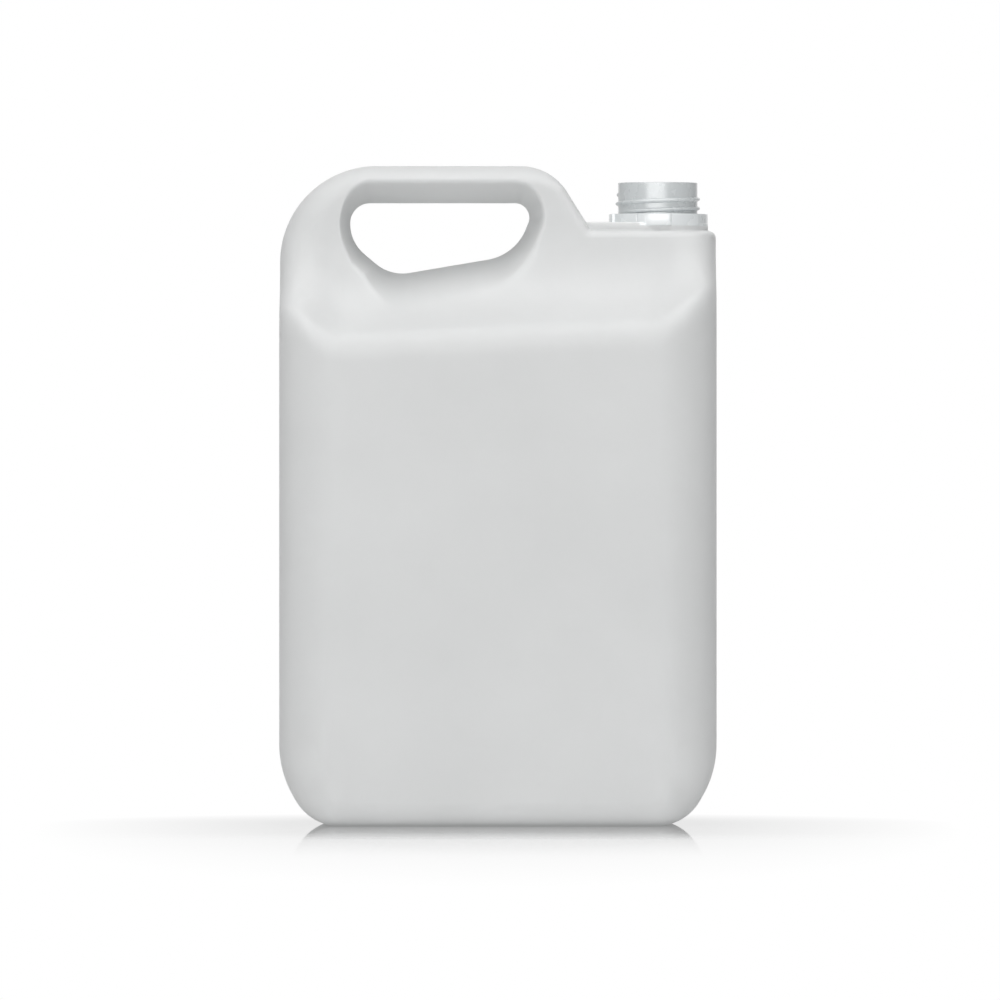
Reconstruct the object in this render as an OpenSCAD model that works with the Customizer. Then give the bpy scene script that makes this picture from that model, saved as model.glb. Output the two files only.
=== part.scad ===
// Five-litre blow-moulded jerrycan with a handle moulded through its top
// corner and a threaded neck beside it.
//
// Frame: the can stands on z = 0 with its front towards -Y. The parting plane
// of the mould is y = 0, and +X points to the side of the neck.
// An outline below lies in that plane and is written as corners [x, z, radius],
// clockwise as seen from the front.

/* [Body] */
// Width across the side walls
body_w = 190; // [170:1:210]
// Depth from the front panel to the back panel
body_d = 128; // [112:1:144]
// Height from the ground to the top of the handle
body_h = 286.5; // [276.5:0.5:300]
// Thickness of the moulded wall
wall = 1.4; // [1:0.1:2.2]
// Radius of the upright edges at full depth
corner_r = 28; // [20:1:32]
// Radius of the top corner over the handle, seen from the front
crown_r = 42; // [30:1:50]
// Radius where a side wall turns in above the heel
heel_r = 45; // [20:1:50]
// Radius of the edges between the base and the two panels
base_edge = 12; // [8:1:16]
// Radius where the heel meets the base
base_r = 22; // [10:1:24]
// Height of the heel bevel
heel_h = 23.5; // [20:0.5:30]
// Width of the heel bevel
heel_w = 13.4; // [10:0.2:18]

/* [Shoulder] */
// Height of the shoulder crease on the front panel, at mid width
crease_h = 213; // [200:1:218]
// Rise of the crease towards the neck, in degrees
crease_rise = 2.8; // [0:0.2:5]
// Rise of the crease's two ends, round the upright edges
crease_up = 12; // [0:1:14]
// Slope of the shoulder, in degrees from upright
shoulder_tilt = 65; // [55:1:70]
// Radius of the rounded crease
crease_r = 14; // [6:1:18]
// Radius of the hollow between the shoulder and the fin
cove_r = 40; // [20:1:44]
// Thickness of the fin that carries the handle
fin_d = 44; // [38:1:50]
// Thickness of the block that carries the neck
deck_d = 52; // [50:1:60]
// Radius of the block's upright edges
block_r = 19; // [16:1:22]

/* [Top edge] */
// Height of the deck beside the handle
deck_h = 258; // [250:0.5:262]
// Length of the deck from the side wall to the foot of the handle
deck_w = 54.2; // [52:0.2:60]
// Angle of the handle's end over the deck, in degrees
end_tilt = 58; // [50:1:66]
// Radius between the top of the handle and its end
end_r = 24; // [12:1:28]
// Radius at the foot of the handle's end
foot_r = 3; // [1:0.5:6]
// Radius of the rim round the deck
rim_r = 3.5; // [2:0.5:5]
// Height of the rounding along the top of the handle
bar_edge = 9; // [5:0.5:10]
// Depth of the rounding along the top of the handle
bar_round = 14; // [8:1:17]
// Radius of the edges of the handle's end
end_edge = 5; // [3:0.5:7]

/* [Handle hole] */
// Width of the column between the side wall and the hole
column_w = 30.4; // [28:0.2:36]
// Height of the handle bar over the hole
bar_h = 16; // [14:0.5:20]
// Width of the hole along its top edge, between its corners
hole_w = 81.6; // [76:0.2:86]
// Height of the straight side of the hole
hole_side_h = 17.2; // [16:0.2:22]
// Height of the hole at its lowest corner
hole_h = 32.2; // [30:0.2:38]
// Width of the slanted edge between that side and the floor
hole_heel_w = 17.6; // [15:0.2:20]
// Length of the floor of the hole
hole_floor_w = 55.5; // [50:0.5:58]
// Rise of the floor towards the neck, in degrees
hole_rise = 9.6; // [5:0.2:12]
// Radius of the upper corner beside the column
hole_r1 = 8.9; // [5:0.1:8.9]
// Radius of the upper corner beside the neck
hole_r2 = 6.5; // [4:0.5:7]
// Radius of the lower corner beside the neck
hole_r3 = 22; // [12:1:24]
// Radius of the lowest corner
hole_r4 = 18.5; // [10:0.5:19]
// Radius of the corner under the straight side
hole_r5 = 17.5; // [10:0.5:17.5]

/* [Handle recess] */
// Slope of the recess over the hole, in degrees from the mould's axis
recess_top = 23; // [18:1:30]
// Slope of the recess at the column
recess_column = 10; // [8:1:14]
// Slope of the recess under the hole
recess_floor = 23; // [16:1:28]
// Slope of the recess beside the neck
recess_neck = 15; // [10:1:20]
// Radius of the parting edge round the hole
hole_edge = 2.5; // [1.5:0.5:4]
// Width over which the recess rounds into the faces
recess_blend = 4; // [2:0.5:6]

/* [Neck] */
// Distance of the neck's axis from the side wall
neck_inset = 25.3; // [24.5:0.1:28]
// Height of the neck's sealing rim over the deck
neck_h = 21.2; // [18:0.2:26]
// Outer diameter of the neck between its threads
neck_d = 34.6; // [34:0.2:36]
// Diameter of the bore
bore_d = 31; // [29:0.2:31.4]
// Diameter over the thread
thread_d = 36.9; // [36:0.1:38]
// Rise of the thread in one turn
thread_pitch = 4; // [3.4:0.1:4.2]
// Turns of the thread
thread_turns = 2; // [1.4:0.1:2.1]
// Height of the thread's root
thread_root = 2.2; // [1.6:0.1:2.6]
// Height of the thread's crest
thread_crest = 0.8; // [0.5:0.1:1.2]
// Distance of the thread's upper end below the sealing rim
thread_land = 4.9; // [4:0.1:5.5]
// Angle of the thread's upper end from the side wall, in degrees
thread_end = 200; // [0:5:360]

/* [Collar] */
// Diameter of the ratchet collar round the neck
collar_d = 43.9; // [42:0.1:45]
// Height of the collar
collar_h = 5.2; // [4:0.2:6]
// Depth by which the collar overhangs the seat's edge
collar_sink = 1.5; // [0.5:0.1:2]
// Number of ratchet teeth
teeth = 9; // [6:1:12]
// Depth of a tooth
tooth_depth = 1; // [0.5:0.1:1.5]
// Angle of the first tooth from the front, in degrees
tooth_start = 15.8; // [0:0.2:40]
// Height of the raised seat under the neck
seat_h = 3.8; // [3:0.2:5]
// Depth of the seat from front to back
seat_d = 41; // [38:1:44]
// Width of the rim between the seat and the side wall
seat_inset = 3.4; // [2.6:0.2:4]

/* [Hidden] */

plastic = [0.86, 0.87, 0.87];
panel_y = body_d / 2;
side_x = body_w / 2;
neck_x = side_x - neck_inset;
foot_x = side_x - deck_w;
seat_z = deck_h + seat_h;
neck_z = deck_h + neck_h;

// The outline of the can
body_corners = [
    [-side_x, body_h, crown_r],
    [foot_x - (body_h - deck_h) / tan(end_tilt), body_h, end_r],
    [foot_x, deck_h, foot_r],
    [side_x, deck_h, rim_r],
    [side_x, heel_h, heel_r],
    [side_x - heel_w, 0, base_r],
    [heel_w - side_x, 0, base_r],
    [-side_x, heel_h, heel_r]
];
// The sides that leave those corners, in turn
TOP = 0;
END = 1;
DECK = 2;
RIGHT = 3;
RIGHT_HEEL = 4;
BASE = 5;
LEFT_HEEL = 6;
LEFT = 7;

// The outline of the hole, on the parting plane
hole_x = column_w - side_x;
hole_top = body_h - bar_h;
hole_low = [hole_x + hole_heel_w, hole_top - hole_h];
hole_corners = [
    [hole_x, hole_top, hole_r1],
    [hole_x + hole_w, hole_top, hole_r2],
    concat(hole_low + hole_floor_w * [cos(hole_rise), sin(hole_rise)], hole_r3),
    concat(hole_low, hole_r4),
    [hole_x, hole_top - hole_side_h, hole_r5]
];

function mix(a, b, t) = a + (b - a) * t;
function clamp(v, low, high) = max(low, min(high, v));
function ease(t) = let (c = clamp(t, 0, 1)) c * c * (3 - 2 * c);
function unit(v) = v / norm(v);
function turned(v) = [-v[1], v[0]];
function spun(v, a) = [v[0] * cos(a) - v[1] * sin(a), v[0] * sin(a) + v[1] * cos(a)];
function across(a, b) = a[0] * b[1] - a[1] * b[0];
// The smaller of a and b, blended where they are within r of each other
function smaller(a, b, r) = let (k = max(r - abs(a - b), 0) / r) min(a, b) - k * k * r / 4;

// A rounded outline: for each corner, where its arc starts and ends, the arc's
// centre, its radius, the outward normal where it starts, and its turn
function rounded(corners) = let (n = len(corners), p = [for (c = corners) [c[0], c[1]]]) [
    for (j = [0:n - 1])
        let (
            before = unit(p[j] - p[(j + n - 1) % n]),
            after = unit(p[(j + 1) % n] - p[j]),
            bend = atan2(across(before, after), before * after),
            r = corners[j][2],
            cut = r * tan(abs(bend) / 2),
            start = p[j] - cut * before
        )
        [start, p[j] + cut * after, start + sign(bend) * r * turned(before), r, turned(before), bend]
];
function arc_point(c, t) = c[2] - sign(c[5]) * c[3] * spun(c[4], c[5] * t);
function arc_normal(c, t) = spun(c[4], c[5] * t);
// Place u on an outline: from 0 to 1 it runs along the first arc, from 1 to 2
// along the side after it, and so on
function place(o, u) =
    let (i = floor(u), c = o[floor(i / 2) % len(o)], d = o[(floor(i / 2) + 1) % len(o)])
    i % 2 == 0 ? arc_point(c, u - i) : mix(c[1], d[0], u - i);
function outward(o, u) =
    let (i = floor(u), c = o[floor(i / 2) % len(o)])
    arc_normal(c, i % 2 == 0 ? u - i : 1);
// Length of piece i, and the place at a given length along the outline
function piece_length(o, i) =
    let (c = o[floor(i / 2) % len(o)], d = o[(floor(i / 2) + 1) % len(o)])
    i % 2 == 0 ? c[3] * abs(c[5]) * PI / 180 : norm(d[0] - c[1]);
function length_to(o, u, i = 0) =
    u <= i + 1 ? (u - i) * piece_length(o, i) : piece_length(o, i) + length_to(o, u, i + 1);
function place_at(o, s, i = 0) =
    let (l = piece_length(o, i)) s <= l || i > 2 * len(o) ? i + s / l : place_at(o, s - l, i + 1);

// Distance of point p from one arc or side, and the place nearest to it
function to_arc(o, j, p) =
    let (c = o[j], v = p - c[2], d = norm(v), a = arc_normal(c, 0), b = arc_normal(c, 1))
    let (out = -sign(c[5]) * v, t = atan2(across(a, out), a * out) / c[5])
    d > 0 && t >= 0 && t <= 1 ? [abs(d - c[3]), 2 * j + t] : [1e9, 2 * j];
function to_side(o, j, p) =
    let (a = o[j][1], b = o[(j + 1) % len(o)][0])
    let (t = clamp((p - a) * (b - a) / ((b - a) * (b - a)), 0, 1))
    [norm(p - mix(a, b, t)), 2 * j + 1 + t];
function nearest(list) = let (d = min([for (c = list) c[0]])) [for (c = list) if (c[0] == d) c][0];
function to_outline(o, p, arcs, sides) =
    nearest(concat([for (j = arcs) to_arc(o, j, p)], [for (j = sides) to_side(o, j, p)]));

outline = rounded(body_corners);
hole = rounded(hole_corners);

// Half the thickness of the fin, which widens into the block under the neck
flare_w = deck_w * 0.74;
flare_x = foot_x - flare_w * 0.65;
function top_y(x) = mix(fin_d, deck_d, ease((x - flare_x) / flare_w)) / 2;
// Height of the crease, which turns up at both ends
end_run = corner_r * 0.9;
function crease_z(x) =
    crease_h + x * tan(crease_rise) + crease_up * ease((abs(x) - side_x + corner_r) / end_run);
// Half depth of the can at [x, z], before its edges and its hole: the panel,
// the rounded crease, the shoulder, the cove and the fin
function shoulder_y(x, z) =
    let (
        top = top_y(x),
        s = z - crease_z(x),
        half = tan(shoulder_tilt / 2),
        s1 = -crease_r * half,
        s2 = (panel_y - top) / tan(shoulder_tilt) + cove_r * half
    )
    s <= s1 ? panel_y
    : s <= s1 + crease_r * sin(shoulder_tilt) ? panel_y - crease_r + sqrt(crease_r ^ 2 - (s - s1) ^ 2)
    : s <= s2 - cove_r * sin(shoulder_tilt) ? panel_y - s * tan(shoulder_tilt)
    : s < s2 ? top + cove_r - sqrt(cove_r ^ 2 - (s2 - s) ^ 2)
    : top;

// Radii of the edge along each side, in the front view and in depth. Those of
// the right wall are given, because the deck's rim runs into it
rim_edge = [rim_r, rim_r];
foot_edge = [base_edge, base_edge];
function wall_edge(y) = corner_r * sqrt(y / panel_y) * [1, 1];
function block_edge(y) =
    mix(block_r, corner_r, clamp((y - deck_d / 2) / (panel_y - deck_d / 2), 0, 1)) * [1, 1];
function side_edge(j, y, right) =
    j == TOP ? [bar_edge, bar_round]
    : j == END ? [end_edge, end_edge]
    : j == DECK ? rim_edge
    : j == RIGHT ? right
    : j == BASE ? foot_edge
    : j == LEFT ? wall_edge(y)
    : mix(wall_edge(y), foot_edge, 0.5);
function edge_at(u, y, right) =
    let (i = floor(u), j = floor(i / 2), n = len(outline), e = side_edge(j % n, y, right))
    i % 2 == 1 ? e : mix(side_edge((j + n - 1) % n, y, right), e, ease(u - i));
// The half depth y with an edge of radii e rounded off at distance d from the outline
function edged(y, d, e) = y - e[1] + e[1] * sqrt(1 - (1 - clamp(d / e[0], 0, 1)) ^ 2);

// Half depth of the recess at distance d from the hole, where n points away from the hole
function recess_y(d, n) =
    let (
        side = n[0] < 0 ? recess_column : recess_neck,
        rim = n[1] < 0 ? recess_floor : recess_top,
        m = n[0] ^ 2 / tan(side) + n[1] ^ 2 / tan(rim)
    )
    sqrt((m * d) ^ 2 + 2 * hole_edge * d);

ALL = [0:len(outline) - 1];
// Half depth of the outside at point p, before the recess
function face_depth(p) =
    let (
        y = shoulder_y(p[0], p[1]),
        e = to_outline(outline, p, ALL, ALL),
        r = to_outline(outline, p, [RIGHT_HEEL, BASE], [RIGHT, RIGHT_HEEL, BASE])
    )
    min(edged(y, e[0], edge_at(e[1], y, rim_edge)), edged(y, r[0], edge_at(r[1], y, block_edge(y))));
function recess_depth(p) =
    let (h = to_outline(hole, p, [0:len(hole) - 1], [0:len(hole) - 1]))
    recess_y(h[0], outward(hole, h[1]));
function half_depth(p) = smaller(face_depth(p), recess_depth(p), recess_blend);

// The outline moved in by a distance for each side, as corners
function moved_corner(j, by) =
    let (
        n = len(outline),
        a = arc_normal(outline[j], 0),
        c = arc_normal(outline[j], 1),
        u = by[(j + n - 1) % n],
        v = by[j],
        k = across(a, c),
        r = body_corners[j][2],
        p = [body_corners[j][0], body_corners[j][1]]
    )
    concat(p - [u * c[1] - v * a[1], v * a[0] - u * c[0]] / k, k > 0 ? r + v : max(r - max(u, v), foot_r));
// The guide: past the rounded edges. The brow: further in, and drawn up to the
// foot of the shoulder, so its three lower sides are left out
wall_in = corner_r * 0.61;
heel_in = (corner_r + base_edge) * 0.45;
guide_in = [bar_edge * 0.8, end_edge, rim_r, wall_in, heel_in, base_edge * 0.9, heel_in, wall_in];
guide = rounded([for (j = ALL) moved_corner(j, guide_in)]);
brow_in = [bar_edge, end_edge * 1.8, rim_r * 1.6, corner_r * 0.86, 0, 0, 0, corner_r * 0.79];
brow_r = crease_r * 0.36;
brow_fall = crease_r * 0.86;
brow_tops = [for (j = [TOP:RIGHT]) moved_corner(j, brow_in) - [0, j == RIGHT ? brow_fall : 0, 0]];
function brow_end(x) =
    [x, crease_h + x * tan(crease_rise) - crease_r * (tan(shoulder_tilt / 2) + 0.07), brow_r];
brow = rounded(concat(brow_tops, [brow_end(brow_tops[RIGHT][0]), brow_end(brow_tops[TOP][0])]));

// Place on a side wall of a loop at height z
function wall_place(o, j, z) =
    let (a = o[j][1], b = o[(j + 1) % len(o)][0])
    2 * j + 1 + (z - a[1]) / (b[1] - a[1]);
right_z = brow_end(side_x)[1] - crease_r / 7;
left_z = brow_end(-side_x)[1] - crease_r / 7;

// Where the loft's curves start: each row gives a place on the outline, the
// places on the guide, the brow and the hole that it faces, and the number of
// curves from there to the next row
rows = [
    [0, 0, 0, 0, 7],
    [1, 1, 1, 1, 4],
    [2, 2, 2, 1.95, 4],
    [3, 3, 3, 2.3, 4],
    [4, 4, 4, 3.7, 2],
    [5, 5, 5, 4.25, 6],
    [6, 6, 6, 4.62, 2],
    [7, 7, 7, 4.72, 8],
    [wall_place(outline, RIGHT, right_z), wall_place(guide, RIGHT, right_z), 8.5, 5.06, 3],
    [8, 8, 9.04, 5.15, 3],
    [9, 9, 9.12, 5.24, 1],
    [10, 10, 9.15, 5.27, 3],
    [11, 11, 9.25, 5.36, 6],
    [12, 12, 9.78, 5.8, 3],
    [13, 13, 9.87, 5.95, 1],
    [14, 14, 9.9, 6, 3],
    [15, 15, 9.97, 6.4, 3],
    [wall_place(outline, LEFT, left_z), wall_place(guide, LEFT, left_z), 10.5, 7.2, 10],
    [16, 16, 12, 10, 0]
];
function along(o, u, v, t) = place_at(o, mix(length_to(o, u), length_to(o, v), t));
stations = [
    for (i = [0:len(rows) - 2], k = [0:rows[i][4] - 1])
        let (a = rows[i], b = rows[i + 1], t = k / a[4])
        [mix(a[0], b[0], t), mix(a[1], b[1], t), along(brow, a[2], b[2], t), along(hole, a[3], b[3], t)]
];
// The curves that start on the deck
deck_first = [for (i = [0:4]) rows[i][4]] * [1, 1, 1, 1, 1];
deck_last = deck_first + rows[5][4];

// Where the line from the hole's point h to b leaves the recess: a share of it
// between low and high, halved i times
function lip(h, b, low, high, i) =
    let (t = (low + high) / 2, p = mix(h, b, t))
    i == 0 ? p
    : recess_depth(p) < face_depth(p) ? lip(h, b, t, high, i - 1)
    : lip(h, b, low, t, i - 1);

// Steps along a curve from one loop to the next, for the outer and the inner
// skin, and how strongly the last steps crowd towards the lip
outer_steps = [5, 2, 7, 4];
inner_steps = [4, 1, 5, 3];
lip_bias = 1.2;
lip_low = 0.04;
lip_high = 0.85;
lip_halvings = 9;

// Points of one curve of the loft in the front view: over the edge to the
// guide, on to the brow, over the shoulder to the lip, and down the recess
function curve(s, steps) =
    let (
        q = place(outline, s[0]),
        g = place(guide, s[1]),
        b = place(brow, s[2]),
        h = place(hole, s[3]),
        l = lip(h, b, lip_low, lip_high, lip_halvings)
    )
    concat(
        [for (i = [0:steps[0]]) mix(q, g, 1 - cos(90 * i / steps[0]))],
        [for (i = [1:steps[1]]) mix(g, b, i / steps[1])],
        [for (i = [1:steps[2]]) mix(b, l, i / steps[2])],
        [for (i = [1:steps[3]]) mix(l, h, (i / steps[3]) ^ lip_bias)]
    );

// One skin of the can, moved in by a thickness: the curves in the front half
// with their normals, mirrored behind
function skin_curves(inset, steps) =
    let (
        last = steps * [1, 1, 1, 1],
        n = len(stations),
        flat = [for (s = stations) curve(s, steps)],
        solid = [for (c = flat) [for (i = [0:last]) [c[i][0], i == last ? 0 : -half_depth(c[i]), c[i][1]]]]
    )
    [for (k = [0:n - 1]) [
        for (i = [0:last])
            let (
                side = i == 0 ? outward(outline, stations[k][0]) : -outward(hole, stations[k][3]),
                normal = i == 0 || i == last
                    ? [side[0], 0, side[1]]
                    : unit(cross(
                        solid[k][i + 1] - solid[k][i - 1],
                        solid[(k + 1) % n][i] - solid[(k + n - 1) % n][i]
                    ))
            )
            solid[k][i] - inset * normal
    ]];

function mirrored(p) = [p[0], -p[1], p[2]];
function flipped(face) = [face[0], face[2], face[1]];
function quad(a, b, c, d) = [[a, b, c], [a, c, d]];
// Two triangles on the shorter diagonal of a cell of points p
function cell(p, a, b, c, d) = norm(p[a] - p[c]) <= norm(p[b] - p[d]) ? quad(a, b, c, d) : quad(b, c, d, a);

// The moulded shell: an outer and an inner skin, joined round a small mouth
// through the deck that the neck's bore then opens up
module shell() {
    n = len(stations);
    mouth_r = bore_d / 4;
    skins = [skin_curves(0, outer_steps), skin_curves(wall, inner_steps)];
    lasts = [for (s = skins) len(s[0]) - 1];
    backs = [for (s = skins) [for (c = s) [for (i = [0:len(c) - 2]) mirrored(c[i])]]];
    // The loop round the deck on each skin, and the mouth inside it
    deck_loop = [for (s = [0, 1]) concat(
        [for (k = [deck_first:deck_last]) skins[s][k][0]],
        [for (k = [deck_last:-1:deck_first]) backs[s][k][0]]
    )];
    mouth = [for (loop = deck_loop) [
        for (p = loop)
            let (v = unit([p[0] - neck_x, p[1]]))
            [neck_x + mouth_r * v[0], mouth_r * v[1], p[2]]
    ]];
    points = concat(
        [for (s = [0, 1]) each concat([for (c = skins[s]) each c], [for (c = backs[s]) each c])],
        mouth[0],
        mouth[1]
    );
    m = len(mouth[0]);
    size = [for (s = [0, 1]) n * (2 * lasts[s] + 1)];
    function front_id(s, k, i) = s * size[0] + (k % n) * (lasts[s] + 1) + i;
    function back_id(s, k, i) =
        i == lasts[s] ? front_id(s, k, i) : s * size[0] + n * (lasts[s] + 1) + (k % n) * lasts[s] + i;
    function mouth_id(s, i) = size[0] + size[1] + s * m + i % m;
    function loop_id(s, i) =
        let (w = i % m, d = deck_last - deck_first)
        w <= d ? front_id(s, deck_first + w, 0) : back_id(s, deck_last - (w - d - 1), 0);
    function front_cell(s, k, l, i) =
        cell(points, front_id(s, k, i), front_id(s, l, i), front_id(s, l, i + 1), front_id(s, k, i + 1));
    function back_cell(s, k, l, i) =
        cell(points, back_id(s, k, i), back_id(s, k, i + 1), back_id(s, l, i + 1), back_id(s, l, i));
    function side_cell(s, k, l) =
        quad(front_id(s, k, 0), back_id(s, k, 0), back_id(s, l, 0), front_id(s, l, 0));
    function deck_cell(s, i, j) =
        quad(loop_id(s, i), mouth_id(s, i), mouth_id(s, j), loop_id(s, j));
    function mouth_cell(i, j) =
        quad(mouth_id(0, i), mouth_id(1, i), mouth_id(1, j), mouth_id(0, j));
    function skin_faces(s) = concat(
        [for (k = [0:n - 1], i = [0:lasts[s] - 1])
            each concat(front_cell(s, k, k + 1, i), back_cell(s, k, k + 1, i))],
        [for (k = [0:n - 1]) if (k < deck_first || k >= deck_last) each side_cell(s, k, k + 1)],
        [for (i = [0:m - 1]) each deck_cell(s, i, i + 1)]
    );
    polyhedron(
        points,
        concat(
            skin_faces(0),
            [for (f = skin_faces(1)) flipped(f)],
            [for (i = [0:m - 1]) each mouth_cell(i, i + 1)]
        )
    );
}

// Plan of the raised seat under the neck from x = left, moved in by an inset
module seat_plan(left, inset) {
    half = seat_d / 2 - inset;
    bow = side_x - seat_inset - inset - half;
    translate([left, -half]) square([bow - left, 2 * half]);
    translate([bow, 0]) circle(r = half, $fn = 96);
}
// The seat starts in the wall of the handle's end, and is hollow from below
module seat() {
    foot = deck_h - wall / 2;
    translate([0, 0, foot]) linear_extrude(seat_z - foot)
        seat_plan(foot_x - seat_h / tan(end_tilt) - wall / 2, 0);
}
module seat_hollow() {
    foot = deck_h - 2 * wall;
    translate([0, 0, foot]) linear_extrude(seat_z - wall - foot)
        seat_plan(foot_x - seat_h, wall);
}

// The neck with its bevelled sealing rim
module neck() {
    r = neck_d / 2;
    bevel = wall * 0.43;
    foot = deck_h - wall / 2;
    translate([neck_x, 0, 0]) rotate_extrude($fn = 96)
        polygon([[0, foot], [r, foot], [r, neck_z - bevel], [r - bevel, neck_z], [0, neck_z]]);
}

// The right-hand thread, with both ends run out into the neck
module thread() {
    per_turn = 36;
    n = floor(thread_turns * per_turn);
    run_out = 4;
    sink = wall / 5;
    height = (thread_d - neck_d) / 2;
    sections = [
        for (i = [0:n])
            let (
                a = thread_end - i * 360 / per_turn,
                z = neck_z - thread_land - thread_pitch * i / per_turn,
                inner = neck_d / 2 - sink,
                r = inner + sink / 2 + (height + sink / 2) * ease(min(i, n - i) / run_out)
            )
            [for (p = [
                [inner, thread_root / 2],
                [r, thread_crest / 2],
                [r, -thread_crest / 2],
                [inner, -thread_root / 2]
            ]) [neck_x + p[0] * cos(a), p[0] * sin(a), z + p[1]]]
    ];
    points = [for (c = sections) each c];
    polyhedron(points, concat(
        [for (i = [0:n - 1], j = [0:3])
            each cell(points, 4 * i + j, 4 * i + (j + 1) % 4, 4 * i + 4 + (j + 1) % 4, 4 * i + 4 + j)],
        quad(3, 2, 1, 0),
        quad(4 * n, 4 * n + 1, 4 * n + 2, 4 * n + 3)
    ));
}

// Plan of the ratchet: each tooth rises along a ramp and drops at a step
module ratchet_plan() {
    front = -90;
    pitch = 360 / teeth;
    ramp = 6;
    polygon([
        for (k = [0:teeth - 1], i = [0:ramp])
            let (
                a = front + tooth_start + (k + i / ramp) * pitch,
                r = collar_d / 2 - tooth_depth * (1 - i / ramp)
            )
            r * [cos(a), sin(a)]
    ]);
}

module collar() {
    translate([neck_x, 0, seat_z - collar_sink]) linear_extrude(collar_h) ratchet_plan();
}

// The bore, open down through the deck
module bore() {
    translate([neck_x, 0, deck_h - 3 * wall]) cylinder(d = bore_d, h = neck_h + 6 * wall, $fn = 96);
}

module jerrycan() {
    color(plastic) difference() {
        union() {
            shell();
            seat();
            neck();
            thread();
            collar();
        }
        seat_hollow();
        bore();
    }
}

jerrycan();
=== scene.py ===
from math import atan2, cos, pi, radians, sin, tan

import bmesh
import bpy
import numpy as np
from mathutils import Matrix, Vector


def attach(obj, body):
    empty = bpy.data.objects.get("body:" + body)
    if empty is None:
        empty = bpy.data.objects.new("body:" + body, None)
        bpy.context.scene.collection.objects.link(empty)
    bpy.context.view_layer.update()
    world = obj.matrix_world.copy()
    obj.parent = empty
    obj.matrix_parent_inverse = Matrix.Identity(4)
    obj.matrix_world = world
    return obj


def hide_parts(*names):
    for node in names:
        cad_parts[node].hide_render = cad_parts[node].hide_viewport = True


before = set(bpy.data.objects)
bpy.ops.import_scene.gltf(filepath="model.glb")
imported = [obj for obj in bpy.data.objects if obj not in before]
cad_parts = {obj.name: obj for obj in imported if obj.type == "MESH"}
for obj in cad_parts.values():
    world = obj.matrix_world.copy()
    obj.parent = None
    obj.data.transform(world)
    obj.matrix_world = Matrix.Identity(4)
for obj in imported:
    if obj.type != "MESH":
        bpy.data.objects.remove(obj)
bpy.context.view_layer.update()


# Sizes in millimetres, as in the CAD model: x runs towards the neck's side, z up, and the front
# faces -y. The origin lies under the middle of the can.
W, D, H = 190.0, 128.0, 286.5
SIDE, PANEL = W / 2, D / 2
WALL = 1.4
# height by which the parting line stands out
SEAM = 0.2
# the deck under the neck, and the slanted end of the handle beside it
DECK, DECK_W = 258.0, 54.2
FOOT = SIDE - DECK_W
END_TILT = radians(58)
# the crease over the panels: its height in the middle, its slope towards the neck, the angle of
# the shoulder above it, and the radii of the crease and of the cove at the shoulder's top
CREASE, RISE, TILT = 213.0, radians(2.8), radians(65)
CREASE_R, COVE_R = 14.0, 40.0
# full depths of the handle's fin and of the block under the neck, the run between them, and the
# share of it on the handle's side of the deck
FIN, BLOCK = 44.0, 52.0
FLARE, FLARE_BEFORE = DECK_W * 0.74, 0.65
# radii of the upright edges of the tank and of the block, of the edges at the base and round the
# deck, of the handle's slanted end, of the handle's top in the front view and in depth, and of an
# edge that stays sharp
CORNER_R, BLOCK_R = 28.0, 19.0
FOOT_EDGE, RIM_R, END_EDGE = 12.0, 3.5, 5.0
BAR_EDGE, BAR_DEEP = 9.0, 14.0
SHARP = 0.01
# rise of the crease's two ends, and the width over which they rise
CREASE_UP, END_RUN = 12.0, CORNER_R * 0.9
# depth of the recess for each millimetre from the handle's hole, at its two ends and over and
# under it, from the angles between the recess and straight through
RECESS_LEFT, RECESS_RIGHT, RECESS_RIM = (1 / tan(radians(a)) for a in (10, 15, 23))
# roundness of the fin's edge in the hole, and of the line where the recess meets the face
HOLE_ROUND, MOUTH_ROUND = 5.0, 4.0

# the raised seat under the neck: its height, half width and end, its fillet and its top edge, and
# how deep the parts that stand on the deck are sunk into it
SEAT_H, SEAT_HALF, SEAT_END = 3.8, 20.5, SIDE - 3.4
SEAT = DECK + SEAT_H
SEAT_FILLET, SEAT_EDGE = 0.9, 0.7
SUNK = WALL / 2
# the ratchet collar: each tooth rises by TOOTH_H, and falls back over the share STEP of its width
COLLAR_SINK, COLLAR_R, COLLAR_TOP = 1.5, 21.95, SEAT + 3.7
TEETH, FIRST_TOOTH, TOOTH_H, STEP = 9, 15.8, 1.0, 0.035
TOOTH = 360 / TEETH
# the neck, its bore and its thread
NECK_X = SIDE - 25.3
NECK_TOP, NECK_R, BORE_R = 279.2, 17.3, 15.5
NECK_FLARE, EDGE = 0.8, 0.35
PITCH, TURNS, THREAD_START, THREAD_DOWN = 4.0, 2.0, 200, 4.9
# a smoothed mesh edge stays sharp over this angle
SHARP_ANGLE = radians(38)

# Colours and light levels
BODY_DARK, BODY_PALE = (0.69, 0.70, 0.70), (0.73, 0.74, 0.74)
# painted shade: the neck is coloured darker than the body, for the shade on its sides; its cool tint is
# its own
NECK_SHADED_DARK, NECK_SHADED_PALE = (0.58, 0.61, 0.62), (0.60, 0.63, 0.64)
# painted light: the collar is coloured paler than the body, for the light on it; its cool tint is its
# own
COLLAR_LIT_DARK, COLLAR_LIT_PALE = (0.76, 0.79, 0.80), (0.78, 0.81, 0.82)
SCATTER = 0.5
# the floor's grey, its own glow and how much paler the camera sees it, and its size in metres
FLOOR, FLOOR_GLOW, FLOOR_LIFT = 0.62, 0.2, 0.7
FLOOR_SIZE = 12
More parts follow.
